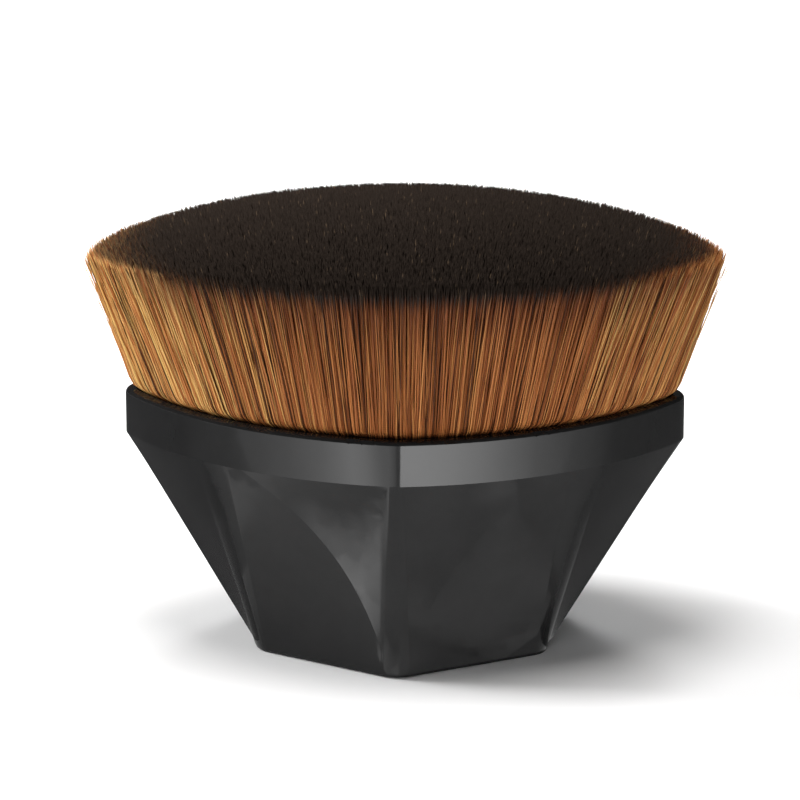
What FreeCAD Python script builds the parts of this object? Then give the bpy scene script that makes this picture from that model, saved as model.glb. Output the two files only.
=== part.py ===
import FreeCAD, Part
import os
import re
import Sketcher

# Kabuki make-up brush: a hexagon-footed plastic handle that flares up to an oval rim, and a dense tuft.
# Origin: middle of the foot's underside. X runs along the wide side of the rim, -Y is the front, Z is up.

doc = FreeCAD.newDocument("kabuki_brush")

SIZES = (
    ("base_corner", 15.5, "hexagon foot, centre to corner"),
    ("base_corner_round", 2.4, "rounding of the foot's corners, in plan"),
    ("corner_flank", 0.4, "stretch of the foot's side, beside each corner, that widens into a flank"),
    ("base_edge_round", 0.4, "rounding of the foot's lower edge"),
    ("facet_height", 18.6, "height of the faceted part, up to the rim band"),
    ("band_height", 4.1, "height of the rim band"),
    ("waist_height", 9.0, "height at which the panels are dished most"),
    ("dish_depth", 0.7, "hollow of a front or back panel at the waist"),
    ("rim_half_width", 25.6, "rim, middle to the left or right end"),
    ("rim_half_depth", 17.1, "rim, middle to the front or back peak"),
    ("rim_end_radius", 3.0, "rounding of the rim's left and right ends, in plan"),
    ("rim_peak_angle", 6.0, "half the turn of the rim at its front peak, in degrees"),
    ("peak_half_width", 0.6, "half the width of the rounding on the rim's front peak"),
    ("ridge_reach", 17.0, "side ridges, from the middle, where they meet the band"),
    ("ridge_half_width", 1.5, "half the width of a side ridge where it meets the band"),
    ("rim_edge_round", 0.4, "rounding of the rim's outer edge"),
    ("rim_wall", 1.0, "wall of the shell at the rim"),
    ("socket_depth", 7.1, "depth of the socket, from the rim to the ledge that carries the cup"),
    ("socket_draft", 0.325, "slope of the socket's wall, sideways for each unit of height"),
    ("inner_end_radius", 2.2, "rounding of the ends of all that sits in the socket"),
    ("foot_floor", 2.0, "thickness of the shell's closed foot"),
    ("foot_wall", 2.2, "wall round the hollow at the foot"),
    ("ledge_front", 2.2, "width of the ledge at the front and back"),
    ("ledge_end", 3.8, "width of the ledge at the left and right"),
    ("hollow_half_side", 2.4, "half the side edge of the hollow at the ledge"),
    ("fit_clearance", 0.1, "gap between the cup and the socket"),
    ("glue_thickness", 0.4, "glue between the ledge and the cup"),
    ("glue_width", 0.9, "width of the ring of glue"),
    ("glue_inset", 0.2, "ring of glue, in from the socket's wall"),
    ("cup_floor", 1.0, "floor of the cup"),
    ("cup_wall", 0.7, "wall of the cup"),
    ("cup_drop", 0.8, "top of the cup, below the rim"),
    ("bond_gap", 0.05, "gap round what is bonded or wound inside the cup"),
    ("bed_thickness", 1.2, "cured bed under the roots"),
    ("binding_height", 2.0, "height of the band round the roots"),
    ("binding_thickness", 0.5, "thickness of the band round the roots"),
    ("lip_gap", 0.2, "gap between the filaments and the shell's lip"),
    ("spill_height", 0.5, "height above the rim at which the filaments have spread over the lip"),
    ("spill_inset", 0.55, "tuft at that height, in from the rim's outside"),
    ("tuft_length", 15.9, "tuft, from the rim to its crown"),
    ("tip_spread_width", 4.3, "lean of the tuft beyond the rim at its ends, at the crown's height"),
    ("tip_spread_depth", 3.9, "lean of the tuft beyond the rim at its front, at the crown's height"),
    ("tip_end_radius", 9.0, "rounding of the tuft's left and right ends, in plan"),
    ("dome_radius", 143.0, "radius of the slightly domed crown"),
    ("tip_edge_round", 1.2, "rounding of the crown's edge"),
)

sizes = doc.addObject("Spreadsheet::Sheet", "Sizes")
for row, (alias, value, note) in enumerate(SIZES, start=1):
    sizes.set(f"A{row}", note)
    sizes.set(f"B{row}", str(value))
    sizes.setAlias(f"B{row}", alias)

# Points, radii and heights that follow from the sizes stand in a second sheet, as formulas.
shape = doc.addObject("Spreadsheet::Sheet", "Shape")
size_names = {alias for alias, value, note in SIZES}
shape_names = []


def bound(formula):
    """The formula with each name's sheet written before it."""

    def with_sheet(match):
        word = match.group()
        if word in size_names:
            return f"Sizes.{word}"
        if word in shape_names:
            return f"Shape.{word}"
        return word

    return re.sub(r"[a-z][a-z0-9_]+", with_sheet, formula)


def derive(alias, formula):
    """Give a formula a cell of its own and return the cell's name."""
    row = len(shape_names) + 1
    shape.set(f"A{row}", "=" + bound(formula))
    shape.setAlias(f"A{row}", alias)
    shape_names.append(alias)
    return alias


def derive_oval(name, half_width, half_depth, end_radius, peak_angle="rim_peak_angle"):
    """An oval of two end arcs and four long arcs that meet in a slight peak at the front and back."""
    width = derive(f"{name}_width", half_width)
    depth = derive(f"{name}_depth", half_depth)
    end = derive(f"{name}_end", end_radius)
    reach = derive(f"{name}_reach", f"{width} - {end}")
    room = derive(f"{name}_room", f"{depth} * cos({peak_angle}) - {reach} * sin({peak_angle}) - {end}")
    side = derive(f"{name}_side", f"({reach}^2 + {depth}^2 - {end}^2) / (2 * {room})")
    centre_x = derive(f"{name}_centre_x", f"-{side} * sin({peak_angle})")
    centre_y = derive(f"{name}_centre_y", f"{side} * cos({peak_angle}) - {depth}")
    derive(f"{name}_touch_x", f"{reach} + {end} * ({reach} - {centre_x}) / ({side} - {end})")
    derive(f"{name}_touch_y", f"{end} * {centre_y} / ({side} - {end})")


def derive_on_side(alias, oval, place):
    """How far in front of the middle the oval's long arc lies at a place along X."""
    derive(alias, f"sqrt({oval}_side^2 - ({place} - {oval}_centre_x)^2) - {oval}_centre_y")


# Heights, from the foot up
derive("rim_height", "facet_height + band_height")
derive("ledge_height", "rim_height - socket_depth")
derive("cup_bottom", "ledge_height + glue_thickness")
derive("cup_inside", "cup_bottom + cup_floor")
derive("bed_top", "cup_inside + bed_thickness")
derive("binding_top", "bed_top + binding_height")
derive("root_shoulder", "binding_top + bond_gap")
derive("root_free", "root_shoulder + binding_thickness")
derive("cup_top", "rim_height - cup_drop")
derive("spill_level", "rim_height + spill_height")
derive("crown_height", "rim_height + tuft_length")

# How far in from the socket's wall each thing in it lies
derive("cup_inner_inset", "fit_clearance + cup_wall")
derive("bond_inset", "cup_inner_inset + bond_gap")
derive("binding_inner_inset", "bond_inset + binding_thickness")
derive("root_inset", "binding_inner_inset + bond_gap")

# Rim outline, with the points at which the handle's ridges meet it
derive_oval("rim", "rim_half_width", "rim_half_depth", "rim_end_radius")
derive_on_side("rim_peak_y", "rim", "peak_half_width")
derive("rim_peak_round", "peak_half_width * rim_side / (peak_half_width - rim_centre_x)")
derive("rim_near_x", "ridge_reach - ridge_half_width")
derive("rim_far_x", "ridge_reach + ridge_half_width")
derive_on_side("rim_near_y", "rim", "rim_near_x")
derive_on_side("rim_far_y", "rim", "rim_far_x")

# Foot outlines: a regular hexagon with rounded corners at each level of the rounding under the foot.
# A short stretch of each side edge, next to the corner, widens upwards into a flank of the handle.
derive("foot_cut", "base_corner_round * tan(30)")
derive("foot_peak_x", "foot_cut * cos(30)")
derive("foot_bend", "base_edge_round * (1 - cos(45))")
for level, inset in (("sole", "base_edge_round"), ("bend", "foot_bend"), ("foot", "0")):
    derive(f"{level}_corner", f"base_corner - {inset} / cos(30)")
    derive(f"{level}_peak_y", f"{level}_corner - foot_cut * sin(30)")
    derive(f"{level}_side_x", f"{level}_corner * cos(30)")
    derive(f"{level}_near_x", f"{level}_side_x - foot_cut * cos(30)")
    derive(f"{level}_near_y", f"{level}_corner / 2 + foot_cut * sin(30)")
    derive(f"{level}_far_y", f"{level}_corner / 2 - foot_cut")
    derive(f"{level}_touch_y", f"{level}_far_y - corner_flank")

# Waist outline: between the two, with hollow panels
derive("waist_share", "(waist_height - base_edge_round) / (facet_height - base_edge_round)")
for point, foot, rim in (
    ("peak_x", "foot_peak_x", "peak_half_width"),
    ("peak_y", "foot_peak_y", "rim_peak_y"),
    ("near_x", "foot_near_x", "rim_near_x"),
    ("near_y", "foot_near_y", "rim_near_y"),
    ("far_x", "foot_side_x", "rim_far_x"),
    ("far_y", "foot_far_y", "rim_far_y"),
    ("touch_x", "foot_side_x", "rim_touch_x"),
    ("touch_y", "foot_touch_y", "rim_touch_y"),
):
    derive(f"waist_{point}", f"{foot} + ({rim} - {foot}) * waist_share")
derive("waist_chord", "sqrt((waist_near_x - waist_peak_x)^2 + (waist_peak_y - waist_near_y)^2)")
derive("waist_dish", "waist_chord^2 / (8 * dish_depth) + dish_depth / 2")
derive("waist_ridge", "1.4 * sqrt((waist_far_x - waist_near_x)^2 + (waist_near_y - waist_far_y)^2)")
derive("waist_bulge", "(rim_half_width - rim_touch_x) * waist_share")
derive("waist_end", "waist_touch_y^2 / (2 * waist_bulge) + waist_bulge / 2")


def derive_in_socket(name, height, inset):
    """An oval at a height in the tapering socket, in from its wall."""
    drop = f"(rim_height - {height}) * socket_draft"
    derive_oval(
        name,
        f"rim_half_width - rim_wall - {drop} - {inset}",
        f"rim_half_depth - rim_wall - {drop} - {inset}",
        "inner_end_radius",
    )


SOCKET_OVALS = (
    ("socket_floor", "ledge_height", "0"),
    ("socket_mouth", "rim_height", "0"),
    ("glue_outer", "ledge_height", "glue_inset"),
    ("glue_inner", "ledge_height", "(glue_inset + glue_width)"),
    ("cup_outer_low", "cup_bottom", "fit_clearance"),
    ("cup_outer_top", "cup_top", "fit_clearance"),
    ("cup_inner_low", "cup_inside", "cup_inner_inset"),
    ("cup_inner_top", "cup_top", "cup_inner_inset"),
    ("bed_low", "cup_inside", "bond_inset"),
    ("bed_high", "bed_top", "bond_inset"),
    ("binding_outer_low", "bed_top", "bond_inset"),
    ("binding_outer_top", "binding_top", "bond_inset"),
    ("binding_inner_low", "bed_top", "binding_inner_inset"),
    ("binding_inner_top", "binding_top", "binding_inner_inset"),
    ("root_low", "bed_top", "root_inset"),
    ("root_high", "root_shoulder", "root_inset"),
    ("root_wide", "root_free", "bond_inset"),
    ("root_lip", "cup_top", "bond_inset"),
    ("root_mouth", "rim_height", "lip_gap"),
)
for name, height, inset in SOCKET_OVALS:
    derive_in_socket(name, height, inset)

# Tuft above the rim, and the profile that cuts its crown
derive_oval("spill", "rim_half_width - spill_inset", "rim_half_depth - spill_inset", "rim_end_radius")
derive_oval(
    "tips", "rim_half_width + tip_spread_width", "rim_half_depth + tip_spread_depth", "tip_end_radius", "0"
)
derive("crown_reach", "tips_width + tip_end_radius")
derive("crown_above", "crown_height + tip_end_radius")

# Hollow of the shell
derive("hollow_foot_corner", "base_corner - foot_wall / cos(30)")
derive("hollow_foot_x", "hollow_foot_corner * cos(30)")
derive("hollow_foot_y", "hollow_foot_corner / 2")
derive("hollow_top_x", "socket_floor_width - ledge_end")
derive("hollow_top_depth", "socket_floor_depth - ledge_front")
doc.recompute()


def value_of(name):
    """The present value of a size or of a derived cell, as a plain number."""
    sheet = sizes if name in size_names else shape
    return float(getattr(sheet, name))


def new_body(label):
    body = doc.addObject("PartDesign::Body", label)
    body.Label = label
    return body


def new_sketch(body, name, height=None, plane="XY_Plane"):
    """A sketch on one of the body's own origin planes, raised to a named height."""
    sketch = body.newObject("Sketcher::SketchObject", name)
    support = next(item for item in body.Origin.OriginFeatures if item.Role == plane)
    sketch.AttachmentSupport = [(support, "")]
    sketch.MapMode = "FlatFace"
    if height:
        sketch.setExpression("AttachmentOffset.Base.z", bound(height))
    return sketch


def tie(sketch, kind, places, name, formula, value):
    """A dimension of a sketch, bound to a cell."""
    sketch.addConstraint(Sketcher.Constraint(kind, *places, value))
    sketch.renameConstraint(sketch.ConstraintCount - 1, name)
    sketch.setExpression(f"Constraints.{name}", bound(formula))


def pin(sketch, geometry, end, label, corner):
    """Hold an end of a line or arc at a corner, given as signed cells along X and Y."""
    for axis, kind, (sign, cell) in zip("xy", ("DistanceX", "DistanceY"), corner):
        if cell is None:
            across = -2 if axis == "x" else -1
            sketch.addConstraint(Sketcher.Constraint("PointOnObject", geometry, end, across))
            continue
        formula = cell if sign > 0 else f"-{cell}"
        tie(sketch, kind, (-1, 1, geometry, end), f"{label}_{axis}", formula, sign * value_of(cell))


def spot(corner):
    """Where a corner lies now."""
    return FreeCAD.Vector(*(0 if cell is None else sign * value_of(cell) for sign, cell in corner), 0)


def edge_between(here, there, radius):
    """A line, or an arc that bulges out of an anticlockwise outline; one with a radius below 0 bulges in."""
    if radius is None:
        return Part.LineSegment(here, there)
    chord = there - here
    outward = FreeCAD.Vector(chord.y, -chord.x, 0).normalize()
    rise = abs(radius) - (radius**2 - (chord.Length / 2) ** 2) ** 0.5
    top = (here + there) / 2 + outward * (rise if radius > 0 else -rise)
    return Part.Arc(here, top, there)


def draw_outline(sketch, corners, radii, label="v"):
    """A closed outline, anticlockwise: a straight edge where the radius is None, else an arc.

    A radius is a cell's name; with a minus before it the arc curves inwards.
    """
    first = sketch.GeometryCount
    count = len(corners)
    ends = []
    for step, radius in enumerate(radii):
        inwards = radius is not None and radius.startswith("-")
        length = None if radius is None else value_of(radius.lstrip("-"))
        here = spot(corners[step])
        there = spot(corners[(step + 1) % count])
        sketch.addGeometry(edge_between(here, there, -length if inwards else length), False)
        ends.append((2, 1) if inwards else (1, 2))
    for step, radius in enumerate(radii):
        after = (step + 1) % count
        places = (first + step, ends[step][1], first + after, ends[after][0])
        sketch.addConstraint(Sketcher.Constraint("Coincident", *places))
        pin(sketch, first + step, ends[step][0], f"{label}{step}", corners[step])
        if radius is not None:
            cell = radius.lstrip("-")
            tie(sketch, "Radius", (first + step,), f"{label}{step}_r", cell, value_of(cell))


def mirrored(quarter):
    """All corners of an outline, from those of its front right quarter, anticlockwise from the front."""
    right = [((1, x), (-1, y)) for x, y in quarter] + [((1, x), (1, y)) for x, y in reversed(quarter)]
    left = [((-1, x), (1, y)) for x, y in quarter] + [((-1, x), (-1, y)) for x, y in reversed(quarter)]
    return right + left


def with_peaks(corner, half_depth):
    """Six corners: a peak at the front and back, and one corner in each quarter."""
    around = mirrored([corner])
    front = ((1, None), (-1, half_depth))
    back = ((1, None), (1, half_depth))
    return [front] + around[:2] + [back] + around[2:]


def draw_oval(sketch, oval, label="v"):
    corners = with_peaks((f"{oval}_touch_x", f"{oval}_touch_y"), f"{oval}_depth")
    side = f"{oval}_side"
    end = f"{oval}_end"
    draw_outline(sketch, corners, [side, end, side, side, end, side], label)


def oval_sketch(body, oval, height):
    sketch = new_sketch(body, f"{oval}_outline", height)
    draw_oval(sketch, oval)
    return sketch


def hexagon_sketch(body, name, height, corner, half_depth):
    sketch = new_sketch(body, name, height)
    draw_outline(sketch, with_peaks(corner, half_depth), [None] * 6)
    return sketch


def handle_sketch(body, name, height, points, peak, panel, ridge, flank, end):
    """One level of the handle: rounded peaks, four panels, four ridges and two sides of three stretches."""
    sketch = new_sketch(body, name, height)
    half = [panel, ridge, flank, end, flank, ridge, panel, peak]
    draw_outline(sketch, mirrored(points), half + half)
    return sketch


def loft(body, kind, name, outlines, ruled):
    """A solid through a pile of outlines, added to the body or cut from it."""
    feature = body.newObject(f"PartDesign::{kind}Loft", name)
    feature.Profile = outlines[0]
    feature.Sections = outlines[1:]
    feature.Ruled = ruled
    doc.recompute()
    return feature


def tapered(body, kind, name, levels):
    """Straight walls through ovals, each with its height."""
    outlines = [oval_sketch(body, oval, height) for oval, height in levels]
    return loft(body, kind, name, outlines, True)


def pad(body, name, outline, length):
    feature = body.newObject("PartDesign::Pad", name)
    feature.Profile = outline
    feature.setExpression("Length", bound(length))
    doc.recompute()
    return feature


def round_edges(body, name, base, edges, radius):
    feature = body.newObject("PartDesign::Fillet", name)
    feature.Base = (base, edges)
    feature.setExpression("Radius", bound(radius))
    doc.recompute()
    return feature


def edges_at(feature, level):
    """Names of the feature's edges that lie flat at a height."""
    names = []
    for number, edge in enumerate(feature.Shape.Edges, start=1):
        if abs(edge.BoundBox.ZMin - level) < 1e-4 and abs(edge.BoundBox.ZMax - level) < 1e-4:
            names.append(f"Edge{number}")
    return names


def edges_of_dome(feature):
    """Names of the edges at which the domed crown meets the sides."""
    names = []
    for number, edge in enumerate(feature.Shape.Edges, start=1):
        faces = feature.Shape.ancestorsOfType(edge, Part.Face)
        domed = [isinstance(face.Surface, Part.Sphere) for face in faces]
        if any(domed) and not all(domed):
            names.append(f"Edge{number}")
    return names


def foot_points(level):
    """The front right quarter of the foot's outline at a level of its rounding."""
    return [
        ("foot_peak_x", f"{level}_peak_y"),
        (f"{level}_near_x", f"{level}_near_y"),
        (f"{level}_side_x", f"{level}_far_y"),
        (f"{level}_side_x", f"{level}_touch_y"),
    ]


def build_handle_shell():
    """One moulding: the faceted cup, the rim band on it, the socket and the hollow under the socket."""
    body = new_body("handle_shell")
    waist_points = [
        ("waist_peak_x", "waist_peak_y"),
        ("waist_near_x", "waist_near_y"),
        ("waist_far_x", "waist_far_y"),
        ("waist_touch_x", "waist_touch_y"),
    ]
    rim_points = [
        ("peak_half_width", "rim_peak_y"),
        ("rim_near_x", "rim_near_y"),
        ("rim_far_x", "rim_far_y"),
        ("rim_touch_x", "rim_touch_y"),
    ]
    foot_edges = ("base_corner_round", None, "base_corner_round", None, None)
    waist_edges = ("base_corner_round", "-waist_dish", "waist_ridge", None, "waist_end")
    rim_edges = ("rim_peak_round", "rim_side", "rim_side", "rim_side", "rim_end")

    rounding = [
        handle_sketch(body, "sole_outline", None, foot_points("sole"), *foot_edges),
        handle_sketch(body, "bend_outline", "foot_bend", foot_points("bend"), *foot_edges),
        handle_sketch(body, "foot_outline", "base_edge_round", foot_points("foot"), *foot_edges),
    ]
    loft(body, "Additive", "foot_rounding", rounding, True)
    facets = [
        handle_sketch(body, "facet_foot_outline", "base_edge_round", foot_points("foot"), *foot_edges),
        handle_sketch(body, "waist_outline", "waist_height", waist_points, *waist_edges),
        handle_sketch(body, "facet_top_outline", "facet_height", rim_points, *rim_edges),
    ]
    loft(body, "Additive", "faceted_cup", facets, False)
    band_outline = handle_sketch(body, "band_outline", "facet_height", rim_points, *rim_edges)
    band = pad(body, "rim_band", band_outline, "band_height")
    round_edges(body, "rim_rounding", band, edges_at(band, value_of("rim_height")), "rim_edge_round")

    tapered(
        body, "Subtractive", "socket", [("socket_floor", "ledge_height"), ("socket_mouth", "rim_height")]
    )
    foot_corner = ("hollow_foot_x", "hollow_foot_y")
    top_corner = ("hollow_top_x", "hollow_half_side")
    hollow = [
        hexagon_sketch(body, "hollow_foot_outline", "foot_floor", foot_corner, "hollow_foot_corner"),
        hexagon_sketch(body, "hollow_top_outline", "ledge_height", top_corner, "hollow_top_depth"),
    ]
    loft(body, "Subtractive", "hollow", hollow, True)
    return body


def build_seat_glue():
    """The ring of glue on the shell's ledge, under the cup."""
    body = new_body("seat_glue")
    ring = new_sketch(body, "glue_outline", "ledge_height")
    draw_oval(ring, "glue_outer", "outer")
    draw_oval(ring, "glue_inner", "inner")
    pad(body, "glue_ring", ring, "glue_thickness")
    return body


def build_tuft_cup():
    """The tapering cup that holds the roots and sits in the socket."""
    body = new_body("tuft_cup")
    outside = [("cup_outer_low", "cup_bottom"), ("cup_outer_top", "cup_top")]
    inside = [("cup_inner_low", "cup_inside"), ("cup_inner_top", "cup_top")]
    tapered(body, "Additive", "cup_outside", outside)
    tapered(body, "Subtractive", "cup_room", inside)
    return body


def build_adhesive_bed():
    """The cured bed in the floor of the cup, in which the filaments end."""
    body = new_body("adhesive_bed")
    tapered(body, "Additive", "cured_bed", [("bed_low", "cup_inside"), ("bed_high", "bed_top")])
    return body


def build_root_binding():
    """The band wound round the bundle of roots."""
    body = new_body("root_binding")
    outside = [("binding_outer_low", "bed_top"), ("binding_outer_top", "binding_top")]
    inside = [("binding_inner_low", "bed_top"), ("binding_inner_top", "binding_top")]
    tapered(body, "Additive", "binding_outside", outside)
    tapered(body, "Subtractive", "binding_room", inside)
    return body


def draw_crown(profile):
    """All that lies above the dome, as a profile beside the brush's axis."""
    crown = value_of("crown_height")
    dome = value_of("dome_radius")
    reach = value_of("crown_reach")
    above = value_of("crown_above")

    def on_dome(place):
        return FreeCAD.Vector(place, crown - dome + (dome**2 - place**2) ** 0.5, 0)

    middle_above = FreeCAD.Vector(0, above, 0)
    edge_above = FreeCAD.Vector(reach, above, 0)
    profile.addGeometry(Part.Arc(on_dome(reach), on_dome(reach / 2), on_dome(0)), False)
    profile.addGeometry(Part.LineSegment(on_dome(0), middle_above), False)
    profile.addGeometry(Part.LineSegment(middle_above, edge_above), False)
    profile.addGeometry(Part.LineSegment(edge_above, on_dome(reach)), False)
    for step in range(4):
        profile.addConstraint(Sketcher.Constraint("Coincident", step, 2, (step + 1) % 4, 1))
    profile.addConstraint(Sketcher.Constraint("PointOnObject", 0, 3, -2))
    profile.addConstraint(Sketcher.Constraint("PointOnObject", 0, 2, -2))
    profile.addConstraint(Sketcher.Constraint("Vertical", 1))
    profile.addConstraint(Sketcher.Constraint("Horizontal", 2))
    profile.addConstraint(Sketcher.Constraint("Vertical", 3))
    tie(profile, "Radius", (0,), "dome", "dome_radius", dome)
    tie(profile, "DistanceY", (-1, 1, 0, 2), "crown", "crown_height", crown)
    tie(profile, "DistanceY", (-1, 1, 1, 2), "above", "crown_above", above)
    tie(profile, "DistanceX", (-1, 1, 2, 2), "reach", "crown_reach", reach)


def build_bristle_tuft():
    """All filaments as one soft solid: roots in the cup, a spill over the lip, and a fan up to the crown."""
    body = new_body("bristle_tuft")
    levels = [
        ("root_low", "bed_top"),
        ("root_high", "root_shoulder"),
        ("root_wide", "root_free"),
        ("root_lip", "cup_top"),
        ("root_mouth", "rim_height"),
        ("spill", "spill_level"),
        ("tips", "crown_height"),
    ]
    tapered(body, "Additive", "fanned_filaments", levels)
    profile = new_sketch(body, "crown_profile", None, "XZ_Plane")
    draw_crown(profile)
    crown = body.newObject("PartDesign::Groove", "crown")
    crown.Profile = profile
    crown.ReferenceAxis = (profile, ["V_Axis"])
    crown.Angle = 360
    doc.recompute()
    round_edges(body, "tip_rounding", crown, edges_of_dome(crown), "tip_edge_round")
    return body


bodies = [
    build_handle_shell(),
    build_seat_glue(),
    build_tuft_cup(),
    build_adhesive_bed(),
    build_root_binding(),
    build_bristle_tuft(),
]
for body in bodies:
    body.Placement = FreeCAD.Placement()
doc.recompute()

faulty = [item.Name for item in doc.Objects if {"Invalid", "Error"} & set(item.State)]
if faulty:
    raise RuntimeError("objects with errors: " + ", ".join(faulty))
os.makedirs("parts", exist_ok=True)
for body in bodies:
    if body.Shape.isNull() or not body.Shape.isValid():
        raise RuntimeError("no valid shape: " + body.Label)
    body.Shape.exportStep(os.path.join("parts", body.Label + ".step"))
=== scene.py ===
import math

import bmesh
import bpy
import numpy as np
from bpy.props import FloatProperty, FloatVectorProperty, IntProperty, PointerProperty
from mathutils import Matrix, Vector


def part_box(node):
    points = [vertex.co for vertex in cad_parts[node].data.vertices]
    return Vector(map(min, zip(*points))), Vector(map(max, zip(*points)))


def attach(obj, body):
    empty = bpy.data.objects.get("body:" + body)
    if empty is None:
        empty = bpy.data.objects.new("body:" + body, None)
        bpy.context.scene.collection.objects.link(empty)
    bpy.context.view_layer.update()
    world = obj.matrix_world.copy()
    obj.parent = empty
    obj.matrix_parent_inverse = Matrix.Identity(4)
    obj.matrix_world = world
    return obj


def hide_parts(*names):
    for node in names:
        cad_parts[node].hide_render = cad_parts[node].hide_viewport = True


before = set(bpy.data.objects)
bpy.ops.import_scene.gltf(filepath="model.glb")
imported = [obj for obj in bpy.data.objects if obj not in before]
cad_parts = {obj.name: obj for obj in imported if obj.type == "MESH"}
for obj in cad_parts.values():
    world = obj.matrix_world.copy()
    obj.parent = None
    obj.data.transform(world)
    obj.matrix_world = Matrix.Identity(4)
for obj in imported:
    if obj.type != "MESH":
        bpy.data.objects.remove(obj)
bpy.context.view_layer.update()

bl_info = {
    "name": "Kabuki Brush Dresser",
    "version": (1, 0, 0),
    "blender": (4, 5, 0),
    "location": "View3D > Sidebar > Kabuki Brush",
    "description": "Gives a packed kabuki brush its filaments, its finishes and a small studio",
    "category": "Object",
}

MM = 0.001
BODY = "root"
BAKE_MAP = "OFBake"
SAME_POINT = 2e-6
TINY = 1e-9
POLYMER_IOR = 1.5
CLOUD_RANGE = (0.3, 0.7)

# Levels and outlines of the rim and the tuft, in millimetres, as the solids have them
HANDLE_HIGH = np.array(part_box("handle_shell")[1]) / MM
TUFT_HIGH = np.array(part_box("bristle_tuft")[1]) / MM
RIM_HALF_WIDTH, RIM_HALF_DEPTH, RIM_LEVEL = HANDLE_HIGH
RIM_END_RADIUS = 3.0
RIM_PEAK = math.radians(6.0)
BAND_HEIGHT = 4.1
BAND_LEVEL = RIM_LEVEL - BAND_HEIGHT
SPILL_RISE = 0.5
SPILL_LEVEL = RIM_LEVEL + SPILL_RISE
SPILL_INSET = 0.55
CROWN_LEVEL = TUFT_HIGH[2]
DOME_RADIUS = 143.0
TIP_SPREAD_WIDTH = 4.3
TIP_SPREAD_DEPTH = 3.9
TIP_END_RADIUS = 9.0
TIP_ROOM = 0.6
TIP_HIGH = CROWN_LEVEL + TIP_ROOM

# The arc at which each long panel ends beside its ridge, seen from the front, in millimetres
ARC_ASIDE = 29.78
ARC_LEVEL = -6.95
ARC_RADIUS = 29.95
ARC_TURNS = np.radians(np.linspace(14.0, 58.5, 19))
ARC_SNAP = 1e-7
ARC_SHARP_HALF_WIDTH = 11.0
ARC_SHARP_GAP = 0.015
PANEL_HALF_WIDTH = 16.0
PANEL_NEAREST = 10.0
PANEL_FACING = 0.3
# How the crescents sink: over a distance from the arc, then by places and shares aside and up
SINK_OVER = 1.1
SINK_ASIDE = ((1.0, 4.0), (0.0, 1.0))
SINK_LEVELS = ((0.8, 3.0, BAND_LEVEL - 3.0, BAND_LEVEL - 0.2), (0.0, 1.0, 1.0, 0.0))
# How the finish leans the left crescents: where it sets in, clears the ridge and thins out
LEAN_FADE = 5.2
LEAN_START = (-0.02, 0.05)
LEAN_RIDGE = (1.0, 1.6)
LEAN_THIN = (7.0, 10.5)
LEAN_THIN_SHARE = 0.35
LEAN_BAND_GAP = 0.02


class HandleSettings(bpy.types.PropertyGroup):
    plastic_colour: FloatVectorProperty(
        name="Plastic colour", description="Colour of the moulded black plastic",
        subtype="COLOR", size=3, default=(0.012, 0.012, 0.0122), min=0.0, max=1.0,
    )
    roughness: FloatProperty(
        name="Roughness", description="How far the satin surface blurs a reflection",
        subtype="FACTOR", default=0.09, min=0.0, max=1.0,
    )
    shine: FloatProperty(
        name="Shine", description="How strongly the plastic mirrors what is in front of it",
        subtype="FACTOR", default=0.22, min=0.0, max=1.0,
    )
    grain_size: FloatProperty(
        name="Grain size", description="Width of one grain of the moulded surface",
        unit="LENGTH", default=0.00022, min=0.00002, max=0.005,
    )
    grain_depth: FloatProperty(
        name="Grain depth", description="Strength of the moulded grain",
        subtype="FACTOR", default=0.012, min=0.0, max=1.0,
    )
    crescent_depth: FloatProperty(
        name="Crescent depth",
        description="How far the crescents beside the ridges lie below the dished panels",
        unit="LENGTH", default=0.00012, min=0.0, max=0.001,
    )
    crescent_lean: FloatProperty(
        name="Crescent lean",
        description="How far the finish leans the left crescents further up, as a slope",
        subtype="FACTOR", default=0.18, min=0.0, max=1.0,
    )


class TuftSettings(bpy.types.PropertyGroup):
    seed: IntProperty(name="Seed", description="Start of the random draws", default=41, min=0)
    spacing: FloatProperty(
        name="Spacing", description="Distance between neighbouring filaments at the crown",
        unit="LENGTH", default=0.00018, min=0.0001, max=0.002,
    )
    thickness: FloatProperty(
        name="Thickness", description="Mean diameter of one filament",
        unit="LENGTH", default=0.000115, min=0.00005, max=0.001,
    )
    side_depth: FloatProperty(
        name="Side depth", description="How deep the filaments that are made from root to tip reach in",
        unit="LENGTH", default=0.0011, min=0.0002, max=0.01,
    )
    crown_reach: FloatProperty(
        name="Crown reach", description="Length that is made of each filament behind the side ones",
        unit="LENGTH", default=0.0055, min=0.001, max=0.015,
    )
    dyed_from: FloatProperty(
        name="Dyed from", description="Height at which the tips are fully dark",
        unit="LENGTH", default=0.03685, min=0.02, max=0.05,
    )
    dye_fade: FloatProperty(
        name="Dye fade", description="Height over which the dark of the tips fades out below that",
        unit="LENGTH", default=0.002, min=0.0001, max=0.02,
    )
    stain_fade: FloatProperty(
        name="Stain fade", description="Height over which the stain below the dark tips fades out",
        unit="LENGTH", default=0.0065, min=0.0001, max=0.02,
    )
    tip_colour: FloatVectorProperty(
        name="Tip colour", description="Dark brown of the tips",
        subtype="COLOR", size=3, default=(0.0207, 0.0153, 0.0122), min=0.0, max=1.0,
    )
    stain_colour: FloatVectorProperty(
        name="Stain colour", description="What the stain below the dark tips leaves of the shaft's colour",
        subtype="COLOR", size=3, default=(0.54, 0.5, 0.58), min=0.0, max=1.0,
    )


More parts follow.
